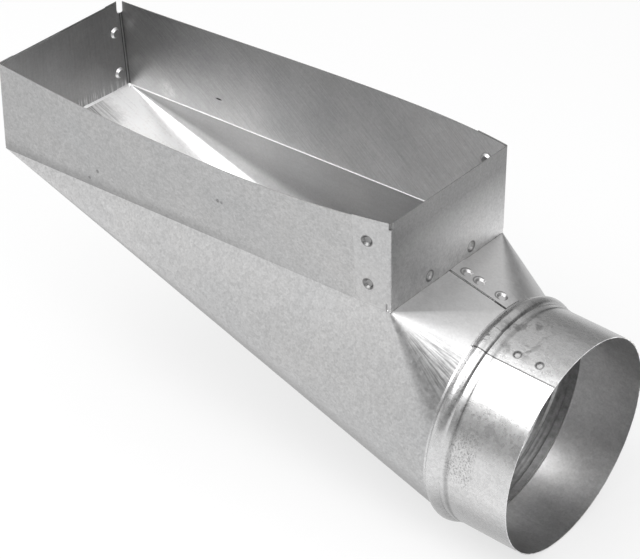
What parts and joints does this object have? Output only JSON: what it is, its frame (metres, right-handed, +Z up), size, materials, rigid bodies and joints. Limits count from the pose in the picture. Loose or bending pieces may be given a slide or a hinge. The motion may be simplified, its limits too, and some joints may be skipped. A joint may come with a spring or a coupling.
{
  "type": "register boot",
  "caption": "Galvanised sheet steel boot that turns a rectangular floor register opening into an offset round duct collar, with lapped seams held by round clinches",
  "frame": {"origin": "centre of the rectangular opening, in the plane of its rim", "axes": "+Z points up, out of the rectangular opening; +X runs along the opening toward the round collar; +Y is the side away from the collar's lap seam"},
  "size_m": [0.3715, 0.1336, 0.1951],
  "materials": {
    "body_sheet": "galvanised, fine spangle",
    "panel_sheet": "galvanised, fine spangle",
    "collar_sheet": "galvanised, fine spangle"
  },
  "bodies": {
    "root": {"body_shell": "body_sheet", "end_panel": "panel_sheet", "round_collar": "collar_sheet"}
  },
  "joints": []
}
